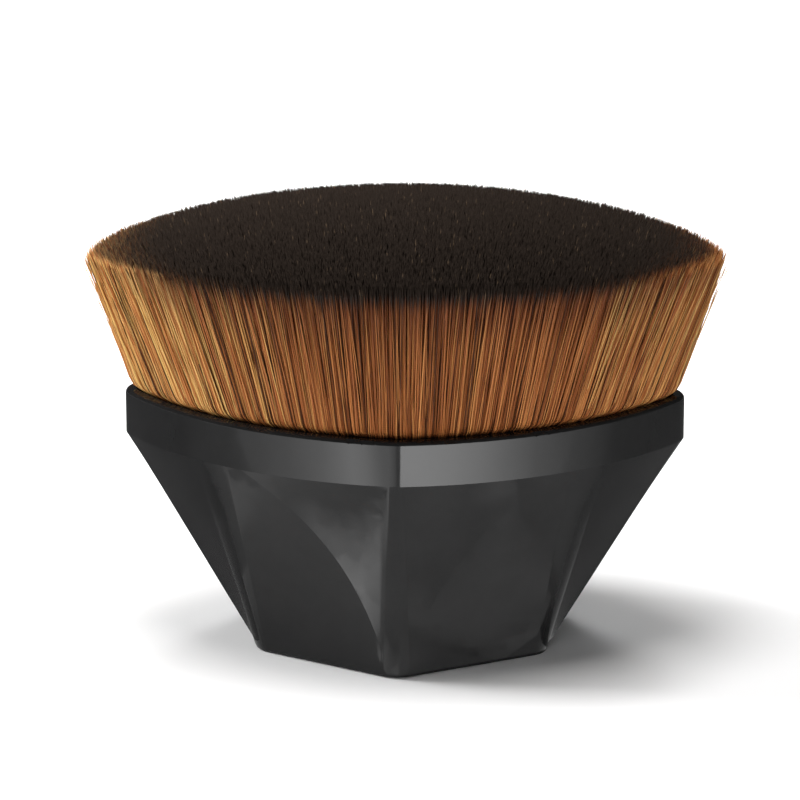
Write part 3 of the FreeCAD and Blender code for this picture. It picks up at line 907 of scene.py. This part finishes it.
def filament_finish(name, settings, low, shine):
    """Two-tone synthetic filament: a golden brown shaft of its own tint, a red brown stain, a dark tip and
    painted shade at the root by the rim.
    """
    material, sheet, shader, _ = new_material(name)
    parts = sheet.split(sheet.add("ShaderNodeUVMap", uv_map=BAKE_MAP).outputs["UV"])
    tint = parts["X"]
    wobble = sheet.math("SINE", sheet.math("MULTIPLY", tint, WOBBLE_RATE))
    level = sheet.math("MULTIPLY_ADD", parts["Y"], TIP_HIGH - low)
    level.node.inputs[2].default_value = low
    level = sheet.math("ADD", level, sheet.math("MULTIPLY", wobble, WOBBLE))
    full = settings.dyed_from / MM
    shaft = sheet.ramp(tint, SHAFT_TINTS)
    stained = sheet.span(level, full - settings.stain_fade / MM, full - STAIN_GAP)
    tone = sheet.mix(stained, shaft, settings.stain_colour, "MULTIPLY")
    tip = sheet.mix(sheet.span(tint, *PALE_SPAN), settings.tip_colour, PALE_TIP_COLOUR)
    tone = sheet.mix(sheet.span(level, full - settings.dye_fade / MM, full), tone, tip)
    # Painted shade: darken the filament towards its root by the rim
    tone = sheet.mix(sheet.span(level, *ROOT_SHADE_SPAN), ROOT_SHADE_COLOUR, tone)
    sheet.join(tone, shader.inputs["Base Color"])
    roughness = sheet.span(tint, 0.0, 1.0, out_low=0.34, out_high=0.5, smooth=False)
    sheet.join(roughness, shader.inputs["Roughness"])
    shader.inputs["IOR"].default_value = POLYMER_IOR
    shader.inputs["Specular IOR Level"].default_value = shine
    return material


# Rings of a filament: fixed levels, distances below its tip, and the taper, in millimetres and shares
SIDE_LOW = 21.9
SIDE_LEVELS = (SIDE_LOW, 22.6, 23.2, 23.8, 28.0)
SIDE_BELOW_TIP = np.array((3.2, 0.8, 0.0))
SIDE_TAPER = np.array((1.0, 1.0, 1.0, 1.0, 1.0, 0.95, 0.72, 0.0))
SIDE_SHINE = 0.1
CROWN_POINT = 0.6
CROWN_TAPER = np.array((1.0, 0.9, 0.0))
CROWN_SHINE = 0.06
CROWN_DROP = 3.2
# Which filaments stray, and how far they stand away and fall short
STRAY_SHARE = 0.25
STRAY_DEPTH = 0.4
STRAY_ASIDE = 20.0
STRAY_BEHIND = 6.0
STRAY_AWAY = (2.0, 0.28)
STRAY_SHORT = (2.0, 0.25)
STRAY_BACK_RISE = 0.5
STRAY_TINTS = (0.6, 0.97)
STRAY_LIFT = 1.2
STRAY_THIN = 0.6


def side_levels(tip):
    """Levels of the rings of filaments that show from root to tip."""
    fixed = np.tile(SIDE_LEVELS, (len(tip), 1))
    return np.concatenate((fixed, tip[:, None] - SIDE_BELOW_TIP), axis=1)


def grow(name, tuft, chosen, levels, taper, finish, low):
    """Make one piece of the chosen filaments, with their rings at the levels."""
    radii = tuft.radius[chosen][:, None] * taper[None, :]
    piece = filament_mesh(
        name, tuft.points_at(chosen, levels), radii, tuft.turn[chosen], tuft.tint[chosen],
        tuft.painted_light_dye_lift[chosen], low,
    )
    dress(piece, finish, "filaments", "bristle_tuft")


class KABUKI_OT_side_filaments(bpy.types.Operator):
    """Grow the filaments that show from root to tip, all round the tuft"""

    bl_idname = "kabuki.side_filaments"
    bl_label = "Side filaments"

    def execute(self, context):
        settings = context.scene.kabuki_tuft
        tuft = Tuft(settings)
        finish = filament_finish("two_tone_side_filament", settings, SIDE_LOW, SIDE_SHINE)
        front = tuft.tip_plane[:, 1] < 0.0
        for name, half in (("side_filaments_front", front), ("side_filaments_back", ~front)):
            chosen = tuft.side & half
            grow(name, tuft, chosen, side_levels(tuft.tip_level[chosen]), SIDE_TAPER, finish, SIDE_LOW)
        return {"FINISHED"}


class KABUKI_OT_stray_filaments(bpy.types.Operator):
    """Let a few thin filaments stand away from both ends and from the back edge of the tuft"""

    bl_idname = "kabuki.stray_filaments"
    bl_label = "Stray filaments"

    def execute(self, context):
        settings = context.scene.kabuki_tuft
        tuft = Tuft(settings)
        random = np.random.default_rng(settings.seed + 1)
        count = len(tuft.depth)
        behind = tuft.tip_plane[:, 1] > STRAY_BEHIND
        at_end = np.abs(tuft.tip_plane[:, 0]) > STRAY_ASIDE
        chosen = (tuft.depth < STRAY_DEPTH) & (behind | at_end) & (random.random(count) < STRAY_SHARE)
        tuft.lean += tuft.normal * random.gamma(*STRAY_AWAY, count)[:, None]
        tuft.tint = random.uniform(*STRAY_TINTS, count)
        shorter = random.gamma(*STRAY_SHORT, count) - np.where(behind, STRAY_BACK_RISE, 0.0)
        tuft.radius *= STRAY_THIN
        tuft.painted_light_dye_lift += STRAY_LIFT
        levels = side_levels((tuft.tip_level - shorter)[chosen])
        finish = filament_finish("pale_stray_filament", settings, SIDE_LOW, SIDE_SHINE)
        grow("stray_filaments", tuft, chosen, levels, SIDE_TAPER, finish, SIDE_LOW)
        return {"FINISHED"}


class KABUKI_OT_crown_filaments(bpy.types.Operator):
    """Grow the upper ends of the filaments that show only as tips in the crown"""

    bl_idname = "kabuki.crown_filaments"
    bl_label = "Crown filaments"

    def execute(self, context):
        settings = context.scene.kabuki_tuft
        tuft = Tuft(settings)
        reach = settings.crown_reach / MM
        low = CROWN_LEVEL - CROWN_DROP - reach
        below_tip = np.array((reach, CROWN_POINT, 0.0))
        finish = filament_finish("two_tone_crown_filament", settings, low, CROWN_SHINE)
        left, front = (tuft.tip_plane < 0.0).T
        for name, quarter in (
            ("crown_filaments_front_left", left & front),
            ("crown_filaments_front_right", ~left & front),
            ("crown_filaments_back_left", left & ~front),
            ("crown_filaments_back_right", ~left & ~front),
        ):
            chosen = ~tuft.side & quarter
            levels = tuft.tip_level[chosen][:, None] - below_tip
            grow(name, tuft, chosen, levels, CROWN_TAPER, finish, low)
        return {"FINISHED"}


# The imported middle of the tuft, in millimetres: its foot, then rings by level and growth past the rim
CORE_STEPS = 25
CORE_INSET = 1.5
CORE_FOOT_LEVEL = 21.4
CORE_FOOT_INSET = 2.6
CORE_FOOT_END_RADIUS = 2.2
CORE_RINGS = ((23.4, -SPILL_INSET, -SPILL_INSET), (28.0, 0.8, 0.7), (32.0, 1.9, 1.6))
# Shaft colours of the core are darker than the filaments' own: painted shade of the depth between the
# filaments
CORE_SHADED_SHAFT_COLOURS = ((0.05, 0.02, 0.006), (0.16, 0.07, 0.022))
CORE_DARK_COLOUR = (0.012, 0.008, 0.005)
CORE_DARK_SPAN = (32.5, 35.0)


def packed_hair(name):
    """The mass between the filaments: fine upright streaks of brown, darker than the filaments' own shafts as
    painted shade of the depth between them.
    """
    material, sheet, shader, place = new_material(name)
    stretch = sheet.add("ShaderNodeMapping")
    stretch.inputs["Scale"].default_value = (1.0, 1.0, 0.04)
    sheet.join(place, stretch.inputs["Vector"])
    streak = sheet.noise(stretch.outputs["Vector"], scale=3800.0)
    dark = sheet.span(sheet.split(place)["Z"], *metres(CORE_DARK_SPAN))
    shaft = sheet.mix(streak, *CORE_SHADED_SHAFT_COLOURS)
    sheet.join(sheet.mix(dark, shaft, CORE_DARK_COLOUR), shader.inputs["Base Color"])
    sheet.join(sheet.span(streak, 0.2, 0.8, out_low=0.9, out_high=0.6), shader.inputs["Roughness"])
    bump_from(sheet, shader, streak, strength=0.5, distance=0.0001)
    return material


class KABUKI_OT_tuft_core(bpy.types.Operator):
    """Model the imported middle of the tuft, which shows only between the filaments"""

    bl_idname = "kabuki.tuft_core"
    bl_label = "Tuft core"

    def execute(self, context):
        clear_selection()
        bpy.ops.mesh.primitive_circle_add(
            vertices=4 * (CORE_STEPS - 1), radius=0.02, fill_type="NGON", location=(0.0, 0.0, 0.0)
        )
        core = context.active_object
        core.name = "tuft_core"
        core.data.name = "tuft_core"
        foot = Oval(
            RIM_HALF_WIDTH - CORE_FOOT_INSET, RIM_HALF_DEPTH - CORE_FOOT_INSET, CORE_FOOT_END_RADIUS, RIM_PEAK
        )
        shares = np.linspace(0.0, 1.0, CORE_STEPS)
        quarter = foot.place(shares, np.ones(CORE_STEPS), np.ones((CORE_STEPS, 2)))
        ring = np.concatenate((
            quarter * (1, -1), quarter[-2::-1] * (1, 1), quarter[1:] * (-1, 1), quarter[-2:0:-1] * (-1, -1)
        ))
        for vertex, (x, y) in zip(core.data.vertices, ring):
            vertex.co = metres((x, y, CORE_FOOT_LEVEL))
        make_active(core)
        bpy.ops.object.mode_set(mode="EDIT")
        bpy.ops.mesh.select_all(action="SELECT")
        bpy.ops.mesh.normals_make_consistent(inside=False)
        for level, wider, deeper in CORE_RINGS:
            bpy.ops.mesh.extrude_region_move()
            bpy.ops.object.mode_set(mode="OBJECT")
            chosen = [vertex for vertex in core.data.vertices if vertex.select]
            wide = max(abs(vertex.co.x) for vertex in chosen)
            deep = max(abs(vertex.co.y) for vertex in chosen)
            for vertex in chosen:
                vertex.co.x *= (RIM_HALF_WIDTH + wider - CORE_INSET) * MM / wide
                vertex.co.y *= (RIM_HALF_DEPTH + deeper - CORE_INSET) * MM / deep
                vertex.co.z = level * MM
            bpy.ops.object.mode_set(mode="EDIT")
        bpy.ops.mesh.inset(thickness=0.004, depth=0.0014)
        bpy.ops.mesh.select_all(action="SELECT")
        bpy.ops.mesh.normals_make_consistent(inside=False)
        bpy.ops.object.mode_set(mode="OBJECT")
        bpy.ops.object.shade_smooth_by_angle(angle=math.radians(40.0))
        dress(core, packed_hair("packed_dark_filaments"), "filaments", "bristle_tuft")
        return {"FINISHED"}


def pale_floor():
    """Plain pale floor with a breath of unevenness."""
    material, sheet, shader, place = new_material("plain_pale_floor")
    cloud = sheet.noise(place, scale=6.0, detail=3.0)
    sheet.join(sheet.mix(cloud, (0.8, 0.8, 0.8), (0.84, 0.84, 0.84)), shader.inputs["Base Color"])
    sheet.join(sheet.span(cloud, *CLOUD_RANGE, out_low=0.75, out_high=0.85), shader.inputs["Roughness"])
    return material


def add_softbox(name, place, aim, width, height, brightness, spread=180.0):
    """A rectangular soft light that looks from one point to another, of even brightness over its face."""
    lamp = bpy.data.lights.new(name, "AREA")
    lamp.shape = "RECTANGLE"
    lamp.size = width
    lamp.size_y = height
    lamp.energy = brightness * math.pi * width * height
    lamp.spread = math.radians(spread)
    holder = bpy.data.objects.new(name, lamp)
    bpy.context.scene.collection.objects.link(holder)
    holder.location = place
    holder.rotation_euler = (Vector(aim) - Vector(place)).to_track_quat("-Z", "Y").to_euler()
    holder.visible_camera = False
    holder.visible_glossy = False
    return holder


def grey_stops(stops):
    """Stops of (place, share) as stops of grey for a colour ramp."""
    return [(place, (share, share, share)) for place, share in stops]


def shade_light(holder, across, along):
    """Make a light's brightness follow stops of (place, share) across its width and along its other side."""
    lamp = holder.data
    lamp.use_nodes = True
    sheet = NodeSheet(lamp.node_tree)
    emission = next(node for node in lamp.node_tree.nodes if node.type == "EMISSION")
    parts = sheet.split(sheet.add("ShaderNodeNewGeometry").outputs["Parametric"])
    first = sheet.ramp(parts["X"], grey_stops(across))
    second = sheet.ramp(parts["Y"], grey_stops(along))
    sheet.join(sheet.mix(1.0, first, second, "MULTIPLY"), emission.inputs["Color"])


def add_gloss_card(name, place, aim, width, height, brightness, across, along):
    """A shaded card that shows only as a gloss on the plastic."""
    holder = add_softbox(name, place, aim, width, height, brightness)
    holder.visible_diffuse = False
    holder.visible_glossy = True
    shade_light(holder, across, along)
    return holder


def add_floor_card(name, place, turn, width, depth, brightness, across, along):
    """A gloss card that lies on the floor, face up, its first stops at its left and at its back."""
    holder = add_gloss_card(name, (*place, CARD_LIFT), (*place, 1.0), width, depth, brightness, across, along)
    holder.rotation_euler = (math.pi, 0.0, math.radians(turn))


def add_band_card(name, heading, away, shift, width, height, brightness, across):
    """A gloss card that stands in front of the handle and faces it, shaded from its left to its right."""
    out = Vector((math.sin(heading), -math.cos(heading), 0.0))
    along = Vector((-out.y, out.x, 0.0))
    place = out * away + along * shift + Vector((0.0, 0.0, height / 2))
    add_gloss_card(name, place, place - out, width, height, brightness, across, EVEN)


def add_flag(name, left, right, front, back, stops):
    """A dim flag over a part of the floor, in millimetres, that shows only as a dark gloss on the plastic.

    Its brightness follows stops of (place, brightness) from its front to its back.
    """
    bpy.ops.mesh.primitive_plane_add(size=1.0, location=(0.0, 0.0, 0.0))
    flag = bpy.context.active_object
    flag.name = name
    corners = ((left, front), (right, front), (left, back), (right, back))
    for vertex, (x, y) in zip(flag.data.vertices, corners):
        vertex.co = (x * MM, y * MM, FLAG_LIFT)
    material, sheet, shader, place = new_material(name)
    way = sheet.span(sheet.split(place)["Y"], front * MM, back * MM, smooth=False)
    sheet.join(sheet.ramp(way, grey_stops(stops)), shader.inputs["Emission Color"])
    shader.inputs["Emission Strength"].default_value = 1.0
    shader.inputs["Base Color"].default_value = (0.0, 0.0, 0.0, 1.0)
    shader.inputs["Specular IOR Level"].default_value = 0.0
    flag.data.materials.append(material)
    flag.visible_camera = False
    flag.visible_diffuse = False
    flag.visible_shadow = False
    flag.visible_transmission = False


# How far the floor's gloss cards and flags lie above it, in metres
CARD_LIFT = 0.0004
FLAG_LIFT = 0.0003
# Soft lights, in metres: name, place, aim, width, height, brightness and, for one, its spread in degrees
SOFTBOXES = (
    ("overhead_softbox", (-0.03, -0.02, 0.8), (0.0, 0.0, 0.0), 0.3, 0.3, 21.0),
    ("back_wash", (0.0, 0.5, 0.5), (0.0, 0.3, 0.0), 0.4, 0.2, 6.5, 48.0),
    ("left_softbox", (-0.4, 0.07, 0.27), (0.0, 0.0, 0.02), 0.18, 0.18, 24.0),
    ("right_softbox", (0.45, -0.1, 0.06), (0.0, 0.0, 0.03), 0.2, 0.1, 4.5),
    ("front_softbox", (-0.13, -0.58, 0.1), (0.0, 0.0, 0.03), 0.3, 0.18, 6.5),
)
# Upright gloss cards, in metres: name, heading, distance, shift, width, height, brightness and stops
EVEN = ((0.0, 1.0), (1.0, 1.0))
LEFT_BAND = (
    (0.0, 0.0), (0.17, 0.09), (0.32, 0.26), (0.46, 0.54), (0.52, 0.75), (0.59, 1.0), (0.65, 0.88),
    (0.73, 0.44), (1.0, 0.15),
)
RIGHT_BAND = (
    (0.0, 1.0), (0.13, 0.98), (0.25, 0.88), (0.37, 0.68), (0.48, 0.44), (0.59, 0.22), (0.72, 0.1), (1.0, 0.0)
)
BAND_CARDS = (
    ("front_left_card", math.radians(-39.6), 0.062, 0.0095, 0.081, 0.024, 5.7, LEFT_BAND),
    ("front_right_card", math.radians(41.0), 0.062, 0.0025, 0.093, 0.024, 9.6, RIGHT_BAND),
)
# Gloss cards on the floor, in metres: name, place, turn in degrees, width, depth, brightness and stops
CRESCENT_SIDE = ((0.0, 0.0), (0.3, 1.0), (1.0, 1.0))
CRESCENT_OUT = ((0.0, 0.0), (0.85, 1.0), (1.0, 1.0))
RIDGE_SIDE = ((0.0, 0.0), (0.4, 0.6), (1.0, 0.32))
RIDGE_FADE = ((0.0, 1.0), (1.0, 0.2))
LOW_SIDE = ((0.0, 0.2), (0.35, 1.0), (0.8, 1.0), (1.0, 0.5))
LOW_FADE = ((0.0, 0.7), (0.5, 1.0), (0.75, 0.7), (1.0, 0.0))
FLOOR_CARDS = (
    ("crescent_card", (-0.03107, -0.03318), -60.0, 0.0316, 0.027, 5.6, CRESCENT_SIDE, CRESCENT_OUT),
    ("ridge_card", (-0.00384, -0.01763), 11.7, 0.00887, 0.004, 2.8, RIDGE_SIDE, RIDGE_FADE),
    ("right_low_card", (0.0145, -0.0155), 0.0, 0.012, 0.011, 0.9, LOW_SIDE, LOW_FADE),
    ("low_card", (0.0083, -0.0148), 31.0, 0.017, 0.008, 0.6, EVEN, ((0.0, 1.0), (0.4, 0.8), (1.0, 0.0))),
)
# Flags over the floor, in millimetres: name, left, right, front, back and stops of place and brightness
FLAGS = (
    ("left_flag", -300.0, -14.0, -8.0, 300.0, ((0.0, 0.2), (0.08, 0.16), (0.3, 0.05), (1.0, 0.02))),
    ("left_corner_flag", -50.0, -24.0, -17.0, -8.0, ((0.0, 1.0), (0.5, 0.75), (1.0, 0.3))),
    ("left_front_flag", -300.0, -50.0, -40.0, -8.0, ((0.0, 0.8), (1.0, 0.25))),
    ("right_flag", 14.0, 300.0, -6.0, 300.0, ((0.0, 0.38), (0.08, 0.26), (0.3, 0.08), (1.0, 0.02))),
    ("right_corner_flag", 24.0, 60.0, -17.0, -6.0, ((0.0, 1.0), (0.5, 0.75), (1.0, 0.4))),
    ("right_front_flag", 60.0, 300.0, -40.0, -6.0, ((0.0, 0.8), (1.0, 0.38))),
)


class KABUKI_OT_studio(bpy.types.Operator):
    """Set up the pale floor, the soft lights and the camera"""

    bl_idname = "kabuki.studio"
    bl_label = "Studio"

    def execute(self, context):
        settings = context.scene.kabuki_studio
        scene = context.scene
        clear_selection()
        bpy.ops.mesh.primitive_plane_add(size=3.0, location=(0.0, 0.6, 0.0))
        floor = context.active_object
        floor.name = "pale_floor"
        bpy.ops.object.transform_apply(location=True, rotation=True, scale=True)
        floor.data.materials.append(pale_floor())

        for softbox in SOFTBOXES:
            add_softbox(*softbox)
        for card in BAND_CARDS:
            add_band_card(*card)
        for card in FLOOR_CARDS:
            add_floor_card(*card)
        for flag in FLAGS:
            add_flag(*flag)
        world = bpy.data.worlds.new("studio_room")
        scene.world = world
        world.use_nodes = True
        background = world.node_tree.nodes["Background"]
        background.inputs["Color"].default_value = (1.0, 1.0, 1.0, 1.0)
        background.inputs["Strength"].default_value = 0.06

        lens = bpy.data.cameras.new("photo_camera")
        lens.lens = settings.focal_length
        lens.sensor_width = 36.0
        lens.clip_start = 0.01
        lens.clip_end = 10.0
        camera = bpy.data.objects.new("photo_camera", lens)
        scene.collection.objects.link(camera)
        camera.location = settings.camera_place
        gaze = Vector(settings.camera_aim) - Vector(settings.camera_place)
        camera.rotation_euler = gaze.to_track_quat("-Z", "Y").to_euler()
        scene.camera = camera
        scene.view_settings.view_transform = "Standard"
        scene.view_settings.look = "None"
        return {"FINISHED"}


OPERATORS = (
    KABUKI_OT_handle,
    KABUKI_OT_inner_parts,
    KABUKI_OT_tuft_core,
    KABUKI_OT_side_filaments,
    KABUKI_OT_crown_filaments,
    KABUKI_OT_stray_filaments,
    KABUKI_OT_studio,
)


class KABUKI_PT_sidebar(bpy.types.Panel):
    """Sizes, colours and steps of the kabuki brush"""

    bl_idname = "KABUKI_PT_sidebar"
    bl_label = "Kabuki Brush"
    bl_space_type = "VIEW_3D"
    bl_region_type = "UI"
    bl_category = "Kabuki Brush"

    def draw(self, context):
        for group in (context.scene.kabuki_handle, context.scene.kabuki_tuft, context.scene.kabuki_studio):
            box = self.layout.box()
            for name in group.__annotations__:
                box.prop(group, name)
        for operator in OPERATORS:
            self.layout.operator(operator.bl_idname)


SETTINGS = (
    ("kabuki_handle", HandleSettings),
    ("kabuki_tuft", TuftSettings),
    ("kabuki_studio", StudioSettings),
)


def register():
    for name, group in SETTINGS:
        bpy.utils.register_class(group)
        setattr(bpy.types.Scene, name, PointerProperty(type=group))
    for item in (*OPERATORS, KABUKI_PT_sidebar):
        bpy.utils.register_class(item)


def unregister():
    for item in (KABUKI_PT_sidebar, *reversed(OPERATORS)):
        bpy.utils.unregister_class(item)
    for name, group in reversed(SETTINGS):
        delattr(bpy.types.Scene, name)
        bpy.utils.unregister_class(group)


def main():
    register()
    bpy.ops.kabuki.handle()
    bpy.ops.kabuki.inner_parts()
    bpy.ops.kabuki.tuft_core()
    bpy.ops.kabuki.side_filaments()
    bpy.ops.kabuki.crown_filaments()
    bpy.ops.kabuki.stray_filaments()
    bpy.ops.kabuki.studio()


if __name__ == "__main__":
    main()
